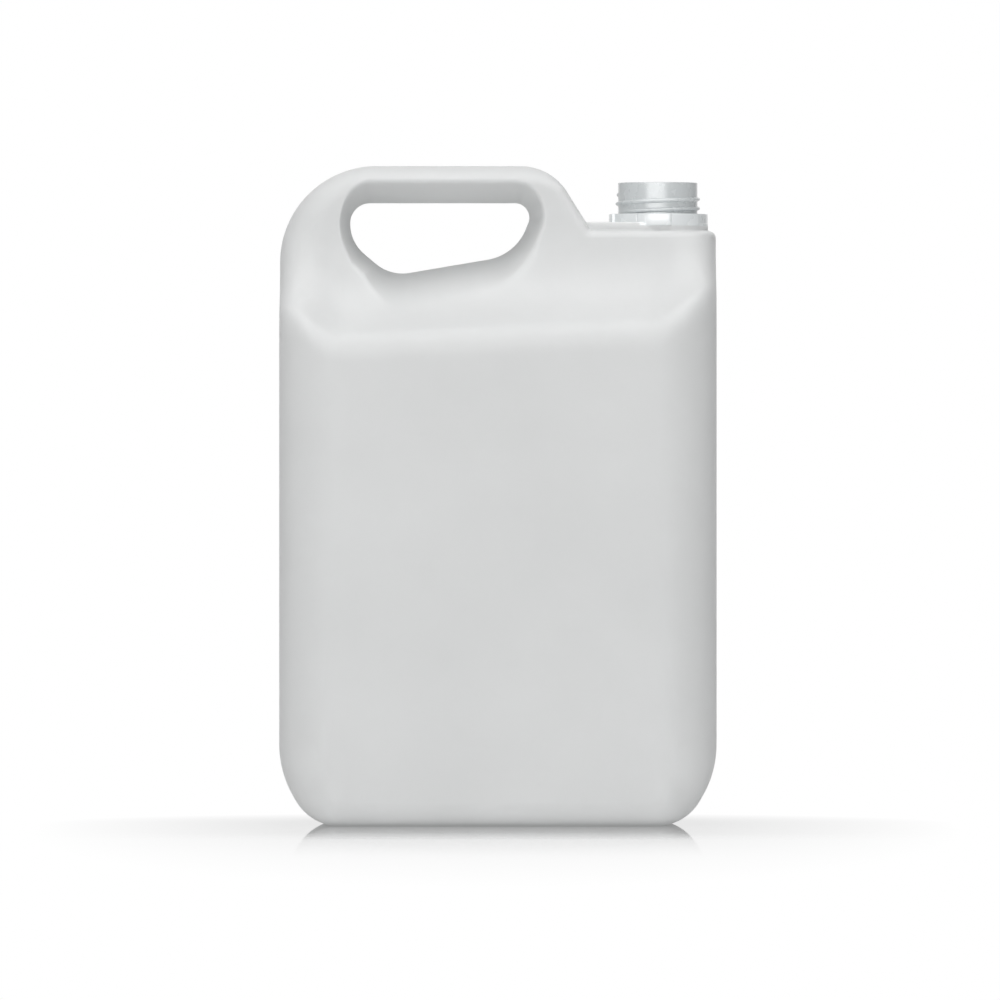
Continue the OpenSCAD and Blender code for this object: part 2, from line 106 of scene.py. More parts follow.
# how strongly the floor mirrors, at shares of the way from the can towards the camera, and how
# long that way is, in metres
POLISH = ((0.0, 1.0), (0.2, 0.92), (0.3, 0.66), (0.43, 0.3), (0.67, 0.15), (0.9, 0.02), (1.0, 0.0))
POLISH_RUN = 0.55
SKY_LEFT, SKY_RIGHT = 0.37, 0.24
OVER, OVER_AT, OVER_SIZE = 29.0, (0.0, -0.4, 2.2), (2.4, 1.6)
FRONT, FRONT_AT, FRONT_SIZE = 28.0, (-0.2, -2.6, 0.7), (2.6, 1.0)
LAMPS_FACE = (0, 0, 0.15)
# the camera's distance, its place and the width of the picture at the can, in metres
CAMERA_AWAY, CAMERA_X, CAMERA_Z, VIEW_W = 6.0, 0.0009, 0.1409, 0.4361

# Corners of the can's outline and of the handle's hole in the front view, clockwise: x, z, radius
HEEL_H, HEEL_W, HEEL_R, BASE_R = 23.5, 13.4, 45, 22
BODY = [
    (-SIDE, H, 42), (FOOT - (H - DECK) / tan(END_TILT), H, 24),
    (FOOT, DECK, 3), (SIDE, DECK, RIM_R),
    (SIDE, HEEL_H, HEEL_R), (SIDE - HEEL_W, 0, BASE_R),
    (HEEL_W - SIDE, 0, BASE_R), (-SIDE, HEEL_H, HEEL_R),
]
TOP, END, DECK_SIDE, RIGHT, RIGHT_HEEL, BASE, LEFT_HEEL, LEFT = range(8)
HOLE_X, HOLE_TOP, HOLE_W = 30.4 - SIDE, H - 16, 81.6
LOW = (HOLE_X + 17.6, HOLE_TOP - 32.2)
LOW_RUN, LOW_RISE = 55.5, radians(9.6)
HOLE = [
    (HOLE_X, HOLE_TOP, 8.9), (HOLE_X + HOLE_W, HOLE_TOP, 6.5),
    (LOW[0] + LOW_RUN * cos(LOW_RISE), LOW[1] + LOW_RUN * sin(LOW_RISE), 22),
    (*LOW, 18.5), (HOLE_X, HOLE_TOP - 17.2, 17.5),
]


def mix(a, b, t):
    return a + (b - a) * t


def ease(t):
    t = np.clip(t, 0, 1)
    return t * t * (3 - 2 * t)


def soft_min(a, b, r):
    """The lesser of a and b, rounded off over a width r where they meet."""
    k = np.maximum(r - np.abs(a - b), 0) / r
    return np.minimum(a, b) - k * k * r / 4


class Loop:
    """A closed outline of sides with rounded corners, clockwise. Place u runs from 0 to 1 along
    the first arc, from 1 to 2 along the side after it, and so on."""

    def __init__(self, corners):
        self.corners = corners
        p = [np.array(c[:2], float) for c in corners]
        n = self.n = len(p)
        self.start, self.end, self.centre, self.r, self.a0, self.bend = [], [], [], [], [], []
        for j in range(n):
            before = p[j] - p[j - 1]
            before /= np.linalg.norm(before)
            after = p[(j + 1) % n] - p[j]
            after /= np.linalg.norm(after)
            bend = atan2(before[0] * after[1] - before[1] * after[0], before @ after)
            r = corners[j][2]
            cut = r * tan(abs(bend) / 2)
            left = np.array([-before[1], before[0]])
            self.start.append(p[j] - cut * before)
            self.end.append(p[j] + cut * after)
            self.centre.append(p[j] - cut * before + np.sign(bend) * r * left)
            self.r.append(r)
            self.a0.append(atan2(left[1], left[0]))
            self.bend.append(bend)
        lengths = []
        for j in range(n):
            side = np.linalg.norm(self.start[(j + 1) % n] - self.end[j])
            lengths += [self.r[j] * abs(self.bend[j]), side]
        self.marks = np.concatenate([[0], np.cumsum(lengths)])

    def point(self, u):
        i = int(u)
        j = (i // 2) % self.n
        if i % 2 == 0:
            a = self.a0[j] + self.bend[j] * (u - i)
            spoke = np.array([cos(a), sin(a)])
            return self.centre[j] - np.sign(self.bend[j]) * self.r[j] * spoke
        return mix(self.end[j], self.start[(j + 1) % self.n], u - i)

    def normal(self, u):
        i = int(u)
        j = (i // 2) % self.n
        a = self.a0[j] + self.bend[j] * (u - i if i % 2 == 0 else 1)
        return np.array([cos(a), sin(a)])

    def along(self, u, v, t):
        """The place a share t of the length from place u to place v."""
        places = range(len(self.marks))
        s = mix(np.interp(u, places, self.marks), np.interp(v, places, self.marks), t)
        return float(np.interp(s, self.marks, places))

    def on_side(self, j, z):
        """The place on side j at height z."""
        a, b = self.end[j][1], self.start[(j + 1) % self.n][1]
        return 2 * j + 1 + (z - a) / (b - a)

    def nearest(self, x, z):
        """Distance of each point from the loop, the nearest place, and the outward normal there."""
        d, place = self.nearest_of(x, z, range(self.n), range(self.n))
        i = np.floor(place).astype(int)
        j = (i // 2) % self.n
        a0, bend = np.array(self.a0)[j], np.array(self.bend)[j]
        a = a0 + bend * np.where(i % 2 == 0, place - i, 1)
        return d, place, np.cos(a), np.sin(a)

    def nearest_of(self, x, z, arcs, sides):
        """Distance of each point from some arcs and sides, and the nearest place on them."""
        best, place = np.full(x.shape, 1e9), np.zeros(x.shape)
        for j in arcs:
            s = -np.sign(self.bend[j])
            vx, vz = x - self.centre[j][0], z - self.centre[j][1]
            turn = np.arctan2(s * vz, s * vx) - self.a0[j]
            t = ((turn + pi) % (2 * pi) - pi) / self.bend[j]
            gap = np.abs(np.hypot(vx, vz) - self.r[j])
            use = (t >= 0) & (t <= 1) & (gap < best)
            best, place = np.where(use, gap, best), np.where(use, 2 * j + t, place)
        for j in sides:
            b, c = self.end[j], self.start[(j + 1) % self.n]
            side = c - b
            t = np.clip(((x - b[0]) * side[0] + (z - b[1]) * side[1]) / (side @ side), 0, 1)
            gap = np.hypot(x - b[0] - t * side[0], z - b[1] - t * side[1])
            use = gap < best
            best, place = np.where(use, gap, best), np.where(use, 2 * j + 1 + t, place)
        return best, place

    def moved(self, by):
        """Corners of the loop with each side moved in by its own distance."""
        least, corners = 3, []
        for j, (x, z, r) in enumerate(self.corners):
            a, c = self.normal(2 * j), self.normal(2 * j + 1)
            u, v = by[j - 1], by[j]
            k = a[0] * c[1] - a[1] * c[0]
            step = np.array([u * c[1] - v * a[1], v * a[0] - u * c[0]]) / k
            corners.append((x - step[0], z - step[1], r + v if k > 0 else max(r - max(u, v), least)))
        return corners


outline = Loop(BODY)
hole = Loop(HOLE)


def crease_z(x):
    """Height of the crease."""
    return CREASE + x * tan(RISE) + CREASE_UP * ease((np.abs(x) - SIDE + CORNER_R) / END_RUN)


def shoulder(x, z):
    """Half depth of the panel, the shoulder and what stands on it, before the edges are rounded."""
    top = mix(FIN, BLOCK, ease((x - FOOT + FLARE * FLARE_BEFORE) / FLARE)) / 2
    s = z - crease_z(x)
    half = tan(TILT / 2)
    s1 = -CREASE_R * half
    s2 = (PANEL - top) / tan(TILT) + COVE_R * half
    crease = PANEL - CREASE_R + np.sqrt(np.maximum(CREASE_R ** 2 - (s - s1) ** 2, 0))
    cove = top + COVE_R - np.sqrt(np.maximum(COVE_R ** 2 - (s2 - s) ** 2, 0))
    slope = PANEL - s * tan(TILT)
    y = np.where(s <= s1, PANEL, np.where(s <= s1 + CREASE_R * sin(TILT), crease, slope))
    return np.where(s > s2 - COVE_R * sin(TILT), np.where(s < s2, cove, top), y)


def edge_radii(place, y, right):
    """Radii of the edge nearest to each place, in the front view and in depth."""
    level = np.ones(y.shape)
    wall = CORNER_R * np.sqrt(y / PANEL)
    heel = (wall + FOOT_EDGE) / 2
    table = {
        TOP: (BAR_EDGE * level, BAR_DEEP * level), END: (END_EDGE * level,) * 2,
        DECK_SIDE: (RIM_R * level,) * 2, RIGHT: (right * level,) * 2, RIGHT_HEEL: (heel, heel),
        BASE: (FOOT_EDGE * level,) * 2, LEFT_HEEL: (heel, heel), LEFT: (wall, wall),
    }
    i = np.floor(place).astype(int)
    t = ease(place - i)
    e0, e1 = wall.copy(), wall.copy()
    for j, radii in table.items():
        before = table[(j - 1) % len(table)]
        arc, side = (i == 2 * j), (i == 2 * j + 1)
        for k, e in ((0, e0), (1, e1)):
            e[arc] = mix(before[k], radii[k], t)[arc]
            e[side] = radii[k][side]
    return e0, e1


def edged(y, d, e0, e1):
    """Half depth y, rounded off by e1 within a distance e0 of the edge."""
    return y - e1 + e1 * np.sqrt(1 - (1 - np.clip(d / e0, 0, 1)) ** 2)


def face_depth(x, z):
    """Half depth of the face, with its edges rounded."""
    y = shoulder(x, z)
    d, place, _, _ = outline.nearest(x, z)
    right, right_place = outline.nearest_of(x, z, (RIGHT_HEEL, BASE), (RIGHT, RIGHT_HEEL, BASE))
    block = mix(BLOCK_R, CORNER_R, np.clip((y - BLOCK / 2) / (PANEL - BLOCK / 2), 0, 1))
    b = edged(y, right, *edge_radii(right_place, y, block))
    # the deck's rim runs round the block's corner, and fades out down its side
    top = place < 2 * RIGHT + 1
    a = edged(np.where(top, b, y), d, *edge_radii(place, y, SHARP))
    # the crease between the two roundings is softened, and fades out where the face is flat
    least, most, depth = 0.01, 1.5, 3
    soft = least + most * np.clip((y - np.minimum(a, b)) / depth, 0, 1)
    return np.where(top, a, soft_min(a, b, soft))


def recess_depth(x, z):
    """Half depth of the recess that leads into the handle's hole."""
    d, _, nx, nz = hole.nearest(x, z)
    ends = np.where(nx < 0, RECESS_LEFT, RECESS_RIGHT)
    m = nx ** 2 * ends + nz ** 2 * RECESS_RIM
    return np.sqrt((m * d) ** 2 + HOLE_ROUND * d)


def half_depth(x, z):
    """Half depth of the can's surface at a point of the front view."""
    return soft_min(face_depth(x, z), recess_depth(x, z), MOUTH_ROUND)


def brow_z(x):
    """Height just under the crease's rounding, where the panel begins."""
    return CREASE + x * tan(RISE) - CREASE_R * tan(TILT / 2) - 1


def brow_corners():
    """The outline's four top corners moved in, the last one also down, and two under the crease."""
    down, radius = 12, 5
    top = outline.moved(BROW_IN)[:4]
    x, z, r = top[3]
    top[3] = (x, z - down, r)
    return top + [(x, brow_z(x), radius), (top[0][0], brow_z(top[0][0]), radius)]


# The loft's loops: the guide past the edges, and the brow drawn up to the foot of the shoulder,
# with how far each side of the outline, from TOP to LEFT, is moved in for them
GUIDE_IN = [7.2, 5, 3.5, 17, 18, 10.8, 18, 17]
BROW_IN = [9, 9, 5.5, 24, 23, 24, 23, 22]
guide = Loop(outline.moved(GUIDE_IN))
brow = Loop(brow_corners())
RIGHT_TURN, LEFT_TURN = brow_z(SIDE) - 2, brow_z(-SIDE) - 2

# Where the loft's curves cross the outline, the guide, the brow and the hole, and the number of
# curves from there to the next row
ROWS = [
    (0, 0, 0, 0, 7), (1, 1, 1, 1, 6), (2, 2, 2, 1.95, 5), (3, 3, 3, 2.3, 4),
    (4, 4, 4, 3.7, 2), (5, 5, 5, 4.25, 6), (6, 6, 6, 4.62, 2), (7, 7, 7, 4.72, 8),
    (outline.on_side(RIGHT, RIGHT_TURN), guide.on_side(RIGHT, RIGHT_TURN), 8.5, 5.06, 3),
    (8, 8, 9.04, 5.15, 3), (9, 9, 9.12, 5.24, 1), (10, 10, 9.15, 5.27, 3), (11, 11, 9.25, 5.36, 6),
    (12, 12, 9.78, 5.8, 3), (13, 13, 9.87, 5.95, 1), (14, 14, 9.9, 6, 3), (15, 15, 9.97, 6.4, 3),
    (outline.on_side(LEFT, LEFT_TURN), guide.on_side(LEFT, LEFT_TURN), 10.5, 7.2, 11),
    (16, 16, 12, 10, 0),
]


def stations(finer):
    """Places of each curve on the outline, the guide, the brow and the hole."""
    out = []
    for a, b in zip(ROWS, ROWS[1:]):
        n = a[4] * finer
        for k in range(n):
            t = k / n
            on_brow, on_hole = brow.along(a[2], b[2], t), hole.along(a[3], b[3], t)
            out.append((mix(a[0], b[0], t), mix(a[1], b[1], t), on_brow, on_hole))
    return out


def lip_points(h, b):
    """The points between the hole h and the brow b where the recess meets the face, by halving."""
    nearest_hole, nearest_brow, halvings = 0.04, 0.85, 14
    low, high = np.full(len(h), nearest_hole), np.full(len(h), nearest_brow)
    for _ in range(halvings):
        t = (low + high) / 2
        p = mix(h, b, t[:, None])
        inside = recess_depth(p[:, 0], p[:, 1]) < face_depth(p[:, 0], p[:, 1])
        low, high = np.where(inside, t, low), np.where(inside, high, t)
    return mix(h, b, t[:, None])


def off_base(z):
    """0 at the base and 1 over it: the parting line fades out there, so that the can stands flat."""
    clear, run = 2, 10
    return np.clip((z - clear) / run, 0, 1)


def side_band(at, out, edge, band, seam):
    """Points across the can's side from its back edge to its front edge, in band steps, with the
    parting line raised in their middle. The arrays at and out hold the outline's points and
    normals, and edge the half depth there."""
    half_way = band // 2
    # distances from the parting line of the points near it, and shares of its height there
    near, height = (0.0, 0.25, 0.5, 1.2), {0: 1.0, 1: 0.55}
    scale = np.minimum(1, edge / (2 * near[-1]))
    last = near[-1] * scale
    raised = off_base(at[:, 1])
    side = []
    for i in range(1, band):
        k = abs(i - half_way)
        if k < len(near):
            across = near[k] * scale
        else:
            across = mix(last, edge, (k - len(near) + 1) / (half_way - len(near) + 1))
        sign = 1 if i < half_way else -1
        rise = seam * height.get(k, 0.0)
        p = at - ((seam - rise) * raised)[:, None] * out
        side.append(np.stack([p[:, 0], sign * across, p[:, 1]], -1))
    return np.stack(side, 1)


def skin(finer, steps, band, seam=0.0):
    """Rings of points round the can's section at each station, as an array [station, point, xyz]:
    the front from the outline to the hole, the back from the hole to the outline, and the side.
    The four steps are the points over the edge, to the brow, to the lip and into the hole."""
    st = stations(finer)
    at = np.array([outline.point(s[0]) for s in st])
    out = np.array([outline.normal(s[0]) for s in st])
    g = np.array([guide.point(s[1]) for s in st])
    b = np.array([brow.point(s[2]) for s in st])
    h = np.array([hole.point(s[3]) for s in st])
    away = np.array([hole.normal(s[3]) for s in st])
    lip = lip_points(h, b)
    cols = [mix(at, g, t) for t in 1 - np.cos(pi / 2 * np.arange(steps[0]) / steps[0])]
    cols += [mix(g, b, i / steps[1]) for i in range(steps[1])]
    cols += [mix(b, lip, i / steps[2]) for i in range(steps[2])]
    cols += [mix(lip, h, t) for t in (1 - np.cos(pi * np.arange(steps[3] + 1) / steps[3])) / 2]
    flat = np.stack(cols, 1)
    y = half_depth(flat[..., 0], flat[..., 1])
    y[:, -1] = 0
    # the parting line stands out by a hair, and the skin beside it lies inside the outline
    run = 6
    d = outline.nearest(flat[..., 0], flat[..., 1])[0]
    fade = seam * np.clip(1 - d / run, 0, 1)
    fade[:, 0] = seam
    flat = flat - (fade * off_base(flat[..., 1]))[..., None] * out[:, None, :]
    flat[:, -1] -= seam * away
    front = np.stack([flat[..., 0], -y, flat[..., 1]], -1)
    back = front[:, -2::-1] * [1, -1, 1]
    return np.concatenate([front, back, side_band(at, out, y[:, 0], band, seam)], 1)


def add_object(name, data):
    ob = bpy.data.objects.new(name, data)
    bpy.context.scene.collection.objects.link(ob)
    return ob


def ring_solid(name, rings):
    """A solid from closed rings of points [ring, point, xyz] that follow each other in a loop."""
    n, m = rings.shape[:2]
    a = np.arange(n * m).reshape(n, m)
    b = np.roll(a, -1, 0)
    quads = np.stack([a, np.roll(a, -1, 1), np.roll(b, -1, 1), b], -1).reshape(-1, 4)
    me = bpy.data.meshes.new(name)
    me.from_pydata((rings.reshape(-1, 3) / 1000).tolist(), [], quads.tolist())
    me.update()
    return add_object(name, me)


def bmesh_object(name, bm):
    bmesh.ops.recalc_face_normals(bm, faces=bm.faces)
    me = bpy.data.meshes.new(name)
    bm.to_mesh(me)
    bm.free()
    return add_object(name, me)


def put_vertex(bm, x, y, z):
    return bm.verts.new((x / 1000, y / 1000, z / 1000))


def revolved(name, profile, steps=192):
    """A closed solid from a profile of (radius, z) from the axis to the axis, round the neck."""
    bm = bmesh.new()
    turns = [2 * pi * k / steps for k in range(steps)]
    rings = []
    for r, z in profile:
        ring = turns if r else turns[:1]
        rings.append([put_vertex(bm, NECK_X + r * cos(a), r * sin(a), z) for a in ring])
    for a, b in zip(rings, rings[1:]):
        for k in range(steps):
            j = (k + 1) % steps
            if len(a) == 1:
                bm.faces.new((a[0], b[k], b[j]))
            elif len(b) == 1:
                bm.faces.new((a[k], b[0], a[j]))
            else:
                bm.faces.new((a[k], b[k], b[j], a[j]))
    return bmesh_object(name, bm)


def joined(name, bm, rings, first, last):
    """A closed solid from rings of vertices that follow each other, and its two end faces."""
    n = len(rings[0])
    for a, b in zip(rings, rings[1:]):
        for k in range(n):
            bm.faces.new((a[k], a[(k + 1) % n], b[(k + 1) % n], b[k]))
    bm.faces.new(first)
    bm.faces.new(last)
    return bmesh_object(name, bm)


def stacked(name, outlines):
    """A closed solid from matching outlines [(x, y), ...] at heights z: [(z, outline), ...]."""
    bm = bmesh.new()
    rings = [[put_vertex(bm, x, y, z) for x, y in line] for z, line in outlines]
    return joined(name, bm, rings, rings[0][::-1], rings[-1])


def quarter(x, z, r, steps=5):
    """Points of a quarter arc about (x, z), from the right to the top."""
    turns = [radians(90 * i / steps) for i in range(steps + 1)]
    return [(x + r * cos(a), z + r * sin(a)) for a in turns]


def seat_outline(left, half, right):
    """Plan of the seat: straight sides and a round end."""
    bow, parts = right - half, 8
    line = [(left, -half)]
    line += [(mix(left, bow, i / parts), -half) for i in range(1, parts)]
    line += [(bow + half * cos(a), half * sin(a)) for a in np.linspace(-pi / 2, pi / 2, 49)]
    line += [(mix(bow, left, i / parts), half) for i in range(1, parts)]
    return line + [(left, half)]


def build_seat():
    """The raised seat, with a fillet at its foot and a rounded top edge."""
    left = FOOT - SEAT_H / tan(END_TILT) - SUNK
    foot, edge, hair, first_turn = SEAT_FILLET, SEAT_EDGE, 0.02, 0.2
    low_turns, high_turns = np.linspace(first_turn, pi / 2, 5), np.linspace(0, pi / 2, 6)
    levels = [(DECK - SUNK, foot), (DECK - hair, foot)]
    levels += [(DECK + foot - foot * cos(a), foot - foot * sin(a)) for a in low_turns]
    levels += [(SEAT - edge + edge * sin(a), edge * cos(a) - edge) for a in high_turns]
    plans = [(z, seat_outline(left, SEAT_HALF + out, SEAT_END + out)) for z, out in levels]
    return stacked("seat", plans)


def ratchet_radius(angle):
    """Radius of the collar at an angle in degrees from the front: each tooth rises slowly."""
    t = ((angle - FIRST_TOOTH) % TOOTH) / TOOTH
    return COLLAR_R - TOOTH_H * (1 - t if t < 1 - STEP else (t - 1 + STEP) / STEP)


def build_collar():
    """The collar with its ratchet teeth and rounded edges."""
    # each tooth has points all along its slow rise, and two in the quick step that ends it
    tooth = [*np.linspace(0, 0.96, 22), 0.968, 0.984]
    starts = [FIRST_TOOTH + TOOTH * k for k in range(TEETH)]
    angles = [start + TOOTH * t for start in starts for t in tooth]

    def ring(inset):
        points = []
        for a in angles:
            r = ratchet_radius(a) - inset
            points.append((NECK_X + r * sin(radians(a)), -r * cos(radians(a))))
        return points

    low, high, r = SEAT - COLLAR_SINK, COLLAR_TOP, EDGE
    turns = np.linspace(0, pi / 2, 4)
    levels = [(low + r - r * cos(a), r - r * sin(a)) for a in turns]
    levels += [(high - r + r * sin(a), r - r * cos(a)) for a in turns]
    return stacked("collar", [(z, ring(inset)) for z, inset in levels])


def build_neck():
    """The neck, a little wider under the collar's top, with a rounded rim."""
    wide = NECK_R + NECK_FLARE
    profile = [(0, DECK - SUNK), (wide, DECK - SUNK), (wide, SEAT)]
    profile += [(NECK_R, COLLAR_TOP), (NECK_R, NECK_TOP - EDGE - 0.1)]
    profile += quarter(NECK_R - EDGE, NECK_TOP - EDGE, EDGE)
    return revolved("neck", profile + [(0, NECK_TOP)])


def build_thread():
    """The right-hand thread: a rounded ridge that runs out into the neck at both ends."""
    per_turn, run_out = 120, 14
    n = int(per_turn * TURNS)
    # section of the ridge, out from the neck and up from the ridge's middle
    upper = [(-0.3, 1.15), (0.0, 1.0), (0.35, 0.82), (0.75, 0.62), (1.0, 0.4), (1.12, 0.15), (1.15, 0.0)]
    section = upper + [(out, -up) for out, up in upper[-2::-1]]
    bm = bmesh.new()
    rings = []
    for i in range(n + 1):
        a = radians(THREAD_START - i * 360 / per_turn)
        z = NECK_TOP - THREAD_DOWN - PITCH * i / per_turn
        e = float(ease(min(i, n - i) / run_out))
        ring = []
        for out, up in section:
            r = NECK_R + (out * e - 0.12 * (1 - e) if out > 0 else out - 0.1 * (1 - e))
            ring.append(put_vertex(bm, NECK_X + r * cos(a), r * sin(a), z + up))
        rings.append(ring)
    return joined("thread", bm, rings, rings[0], rings[-1][::-1])


def combine(target, other, operation):
    """Joins another solid to the target, or cuts it out, and removes the other one."""
    mod = target.modifiers.new("cut", "BOOLEAN")
    mod.operation, mod.solver, mod.object = operation, "MANIFOLD", other
    deps = bpy.context.evaluated_depsgraph_get()
    me = bpy.data.meshes.new_from_object(target.evaluated_get(deps))
    target.modifiers.clear()
    old = target.data
    target.data = me
    bpy.data.meshes.remove(old)
    bpy.data.objects.remove(other)


def build_inside():
    """The hollow of the can: the outer skin, coarser, moved in by the wall."""
    inner = skin(2, (8, 2, 8, 5), 8)
    du = np.roll(inner, -1, 0) - np.roll(inner, 1, 0)
    dv = np.roll(inner, -1, 1) - np.roll(inner, 1, 1)
    normal = np.cross(dv, du)
    normal /= np.linalg.norm(normal, axis=-1, keepdims=True)
    return ring_solid("inside", inner - WALL * normal)


def build_seat_hollow():
    """What is cut out of the seat from below, so that its wall is even."""
    plan = seat_outline(FOOT - SEAT_H, SEAT_HALF - WALL, SEAT_END - WALL)
    return stacked("hollow", [(z, plan) for z in (DECK - 2 * WALL, SEAT - WALL)])


def build_bore():
    """The way through the neck, with a small chamfer at its mouth."""
    low, high, chamfer = DECK - 5, NECK_TOP + 0.1, 0.6
    profile = [(0, low), (BORE_R, low), (BORE_R, NECK_TOP - 0.5), (BORE_R + chamfer, high), (0, high)]
    return revolved("bore", profile)


def build_can():
    """The whole can: the shell and what stands on its deck, and the ways through them."""
    fine = 5
    can = ring_solid("jerrycan_body", skin(fine, (18, 5, 26, 14), 18, SEAM))
    combine(can, build_inside(), "DIFFERENCE")
    for build in (build_seat, build_neck, build_collar, build_thread):
        combine(can, build(), "UNION")
    for build in (build_seat_hollow, build_bore):
        combine(can, build(), "DIFFERENCE")
    can.data.shade_smooth()
    can.data.set_sharp_from_angle(angle=SHARP_ANGLE)
    return can


class Graph:
    """Short ways to add the nodes that the materials share."""

    def __init__(self, tree):
        self.nodes, self.links = tree.nodes, tree.links

    def put(self, socket, value):
        if isinstance(value, bpy.types.NodeSocket):
            self.links.new(value, socket)
        else:
            socket.default_value = value

    def maths(self, operation, a, b):
        node = self.nodes.new("ShaderNodeMath")
        node.operation = operation
        self.put(node.inputs[0], a)
        self.put(node.inputs[1], b)
        return node.outputs["Value"]

    def ranged(self, value, start, stop, low=0.0, high=1.0):
        node = self.nodes.new("ShaderNodeMapRange")
        for name, number in (("From Min", start), ("From Max", stop), ("To Min", low), ("To Max", high)):
            node.inputs[name].default_value = number
        self.links.new(value, node.inputs["Value"])
        return node.outputs["Result"]

    def axes(self, kind):
        coord = self.nodes.new("ShaderNodeTexCoord")
        node = self.nodes.new("ShaderNodeSeparateXYZ")
        self.links.new(coord.outputs[kind], node.inputs["Vector"])
        return node.outputs["X"], node.outputs["Y"], node.outputs["Z"]

    def length(self, a, b):
        squares = self.maths("ADD", self.maths("MULTIPLY", a, a), self.maths("MULTIPLY", b, b))
        return self.maths("SQRT", squares, 0.0)

    def light_path(self, kind):
        return self.nodes.new("ShaderNodeLightPath").outputs[kind]

    def mixed(self, fac, a, b):
        node = self.nodes.new("ShaderNodeMixShader")
        self.put(node.inputs[0], fac)
        self.links.new(a, node.inputs[1])
        self.links.new(b, node.inputs[2])
        return node.outputs["Shader"]

    def glow(self, strength):
        node = self.nodes.new("ShaderNodeEmission")
        self.put(node.inputs["Strength"], strength)
        return node.outputs["Emission"]

    def noise(self, scale, stretch=(1, 1, 1), detail=3.0, rough=0.5):
        coord = self.nodes.new("ShaderNodeTexCoord")
        mapping = self.nodes.new("ShaderNodeMapping")
        mapping.inputs["Scale"].default_value = stretch
        self.links.new(coord.outputs["Object"], mapping.inputs["Vector"])
        tex = self.nodes.new("ShaderNodeTexNoise")
        tex.inputs["Scale"].default_value = scale
        tex.inputs["Detail"].default_value = detail
        tex.inputs["Roughness"].default_value = rough
        self.links.new(mapping.outputs["Vector"], tex.inputs["Vector"])
        return tex.outputs["Fac"]

    def ramp(self, fac, stops):
        """Colours at places from 0 to 1: [(place, colour), ...]."""
        node = self.nodes.new("ShaderNodeValToRGB")
        band = node.color_ramp.elements
        for place, _ in stops[1:-1]:
            band.new(place)
        for element, (place, colour) in zip(band, stops):
            element.position = place
            element.color = (*colour, 1)
        self.links.new(fac, node.inputs["Fac"])
        return node.outputs["Color"]

    def bump(self, height, distance, before=None):
        node = self.nodes.new("ShaderNodeBump")
        node.inputs["Strength"].default_value = 1.0
        node.inputs["Distance"].default_value = distance
        self.links.new(height, node.inputs["Height"])
        if before:
            self.links.new(before, node.inputs["Normal"])
        return node.outputs["Normal"]

    def colour_mix(self, fac, a, b):
        node = self.nodes.new("ShaderNodeMix")
        node.data_type = "RGBA"
        self.links.new(fac, node.inputs["Factor"])
        self.links.new(a, node.inputs["A"])
        self.links.new(b, node.inputs["B"])
        return node.outputs["Result"]


def plastic():
    """Milky natural polyethylene: satin, slightly translucent, with moulding marks."""
    mat = bpy.data.materials.new("natural_plastic")
    mat.use_nodes = True
    g = Graph(mat.node_tree)
    shader = g.nodes["Principled BSDF"].inputs

    # the neck and the collar are blown against steel inserts, and so are smoother than the body
    x, y, z = g.axes("Object")
    from_axis = g.length(g.maths("SUBTRACT", x, NECK_X / 1000), y)
    reach, collar_foot = (0.0221, 0.0220), (SEAT - COLLAR_SINK) / 1000
    over_foot = g.ranged(z, collar_foot - 0.0001, collar_foot)
    neck = g.maths("MULTIPLY", g.ranged(from_axis, *reach), over_foot)
    above_collar = g.ranged(z, (COLLAR_TOP - 0.3) / 1000, (COLLAR_TOP + 0.1) / 1000)

    # cloudy thickness in the colours
    clouds = g.noise(14, detail=4)

    def cloudy(dark, pale):
        return g.ramp(clouds, [(0.3, dark), (0.7, pale)])

    body_colour = cloudy(BODY_DARK, BODY_PALE)
    # painted shade and light: the neck is coloured darker and the collar paler than the body, on top of
    # their own cool tint
    painted_neck_and_collar = g.colour_mix(
        above_collar, cloudy(COLLAR_LIT_DARK, COLLAR_LIT_PALE), cloudy(NECK_SHADED_DARK, NECK_SHADED_PALE))
    g.put(shader["Base Color"], g.colour_mix(neck, body_colour, painted_neck_and_collar))

    # satin, and glossier at the neck
    rough = g.ranged(g.noise(60, detail=5, rough=0.6), 0.0, 1.0, 0.48, 0.58)
    g.put(shader["Roughness"], g.maths("SUBTRACT", rough, g.maths("MULTIPLY", neck, 0.26)))
    g.put(shader["Specular IOR Level"], g.ranged(neck, 0.0, 1.0, 0.3, 1.0))
    g.put(shader["IOR"], 1.5)
    g.put(shader["Coat Weight"], neck)
    g.put(shader["Coat Roughness"], 0.3)
    g.put(shader["Coat IOR"], 1.7)

    # slow waves of the moulding, faint upright flow lines from the extruded parison, and grain
    normal = g.bump(g.noise(30, detail=2), 0.00018)
    normal = g.bump(g.noise(1, (240, 240, 5), detail=2), 0.00002, normal)
    g.put(shader["Normal"], g.bump(g.noise(1400, detail=3), 0.000012, normal))

    # light that spreads in the wall
    g.put(shader["Subsurface Weight"], g.ranged(neck, 0.0, 1.0, SCATTER, 0.0))
    g.put(shader["Subsurface Radius"], (1.0, 1.0, 1.0))
    g.put(shader["Subsurface Scale"], 0.005)
    return mat


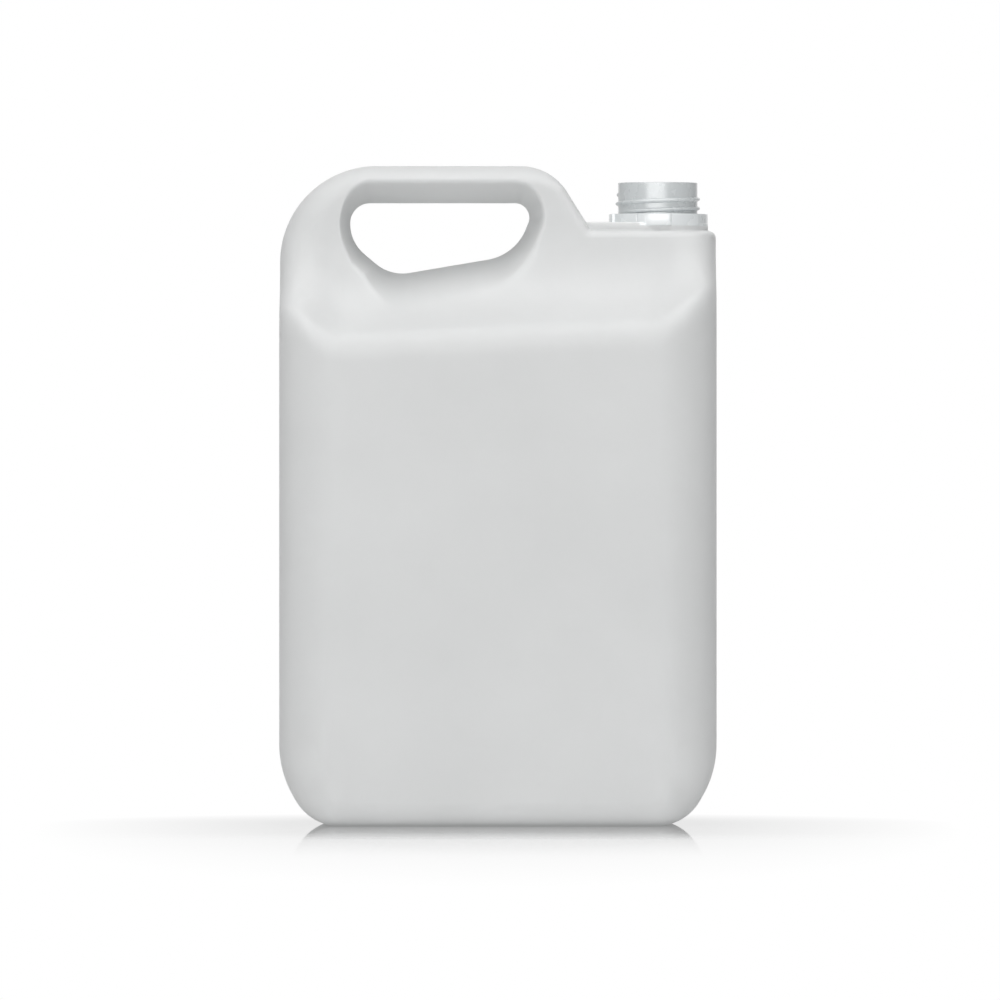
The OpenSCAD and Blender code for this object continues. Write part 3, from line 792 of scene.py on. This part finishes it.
def floor_material():
    """White card: polished in front of the can, where the polish fades out, and plain white far off."""
    mat = bpy.data.materials.new("floor")
    mat.use_nodes = True
    g = Graph(mat.node_tree)
    shader = g.nodes["Principled BSDF"]
    g.put(shader.inputs["Base Color"], (FLOOR, FLOOR, FLOOR, 1))
    g.put(shader.inputs["Roughness"], 0.5)
    g.put(shader.inputs["Specular IOR Level"], 0.0)
    camera = g.light_path("Is Camera Ray")

    # lit card with a glow of its own, whose shadows the camera sees paler
    lit = g.nodes.new("ShaderNodeAddShader")
    g.put(lit.inputs[0], shader.outputs["BSDF"])
    g.put(lit.inputs[1], g.glow(FLOOR_GLOW))
    pale = g.mixed(g.maths("MULTIPLY", camera, FLOOR_LIFT), lit.outputs["Shader"], g.glow(1.0))

    # the polish, which mirrors most at a grazing angle
    x, y, _ = g.axes("Object")
    polish = g.nodes.new("ShaderNodeBsdfGlossy")
    g.put(polish.inputs["Roughness"], 0.02)
    grazing = g.nodes.new("ShaderNodeFresnel")
    g.put(grazing.inputs["IOR"], 1.5)
    can_front = -PANEL / 1000
    along = g.ranged(y, can_front, can_front - POLISH_RUN)
    level = g.ramp(along, [(place, (share,) * 3) for place, share in POLISH])
    mirror = g.maths("MULTIPLY", g.maths("MULTIPLY", level, grazing.outputs["Fac"]), camera)
    near = g.mixed(mirror, pale, polish.outputs["BSDF"])

    # plain white by the distance from the can, which counts less in front of it
    y = g.maths("MAXIMUM", y, g.maths("MULTIPLY", y, -0.2))
    far = g.maths("MULTIPLY", g.ranged(g.length(x, y), 0.09, 0.2), camera)
    g.put(g.nodes["Material Output"].inputs["Surface"], g.mixed(far, near, g.glow(1.0)))
    return mat


def area_light(name, power, place, size):
    data = bpy.data.lights.new(name, "AREA")
    data.shape = "RECTANGLE"
    data.size, data.size_y = size
    data.energy = power
    ob = add_object(name, data)
    ob.location = place
    ob.rotation_euler = (Vector(LAMPS_FACE) - Vector(place)).to_track_quat("-Z", "Y").to_euler()


def build_stage():
    bm = bmesh.new()
    bmesh.ops.create_grid(bm, x_segments=2, y_segments=2, size=FLOOR_SIZE)
    me = bpy.data.meshes.new("floor")
    bm.to_mesh(me)
    bm.free()
    floor = add_object("floor", me)
    me.materials.append(floor_material())

    # a white backdrop behind the can, and a dim room round it, darker to the right, which the
    # camera sees as white
    world = bpy.data.worlds.new("studio")
    bpy.context.scene.world = world
    world.use_nodes = True
    g = Graph(world.node_tree)
    x, y, _ = g.axes("Generated")
    white = g.maths("MAXIMUM", g.light_path("Is Camera Ray"), g.ranged(y, 0.7, 0.95))
    room = g.ranged(x, -0.2, 0.8, SKY_LEFT, SKY_RIGHT)
    back = g.nodes["Background"].inputs
    g.put(back["Color"], (1, 1, 1, 1))
    g.put(back["Strength"], g.maths("MAXIMUM", white, room))

    area_light("over", OVER, OVER_AT, OVER_SIZE)
    area_light("front", FRONT, FRONT_AT, FRONT_SIZE)


def build_camera():
    data = bpy.data.cameras.new("camera")
    data.sensor_width = 36
    data.lens = data.sensor_width * CAMERA_AWAY / VIEW_W
    camera = add_object("camera", data)
    camera.location = (CAMERA_X, -CAMERA_AWAY, CAMERA_Z)
    camera.rotation_euler = (pi / 2, 0, 0)
    bpy.context.scene.camera = camera
    bpy.context.scene.view_settings.view_transform = "Standard"


build_camera()
can = build_can()
can.data.materials.clear()
can.data.materials.append(plastic())
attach(can, "root")
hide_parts("jerrycan")
build_stage()
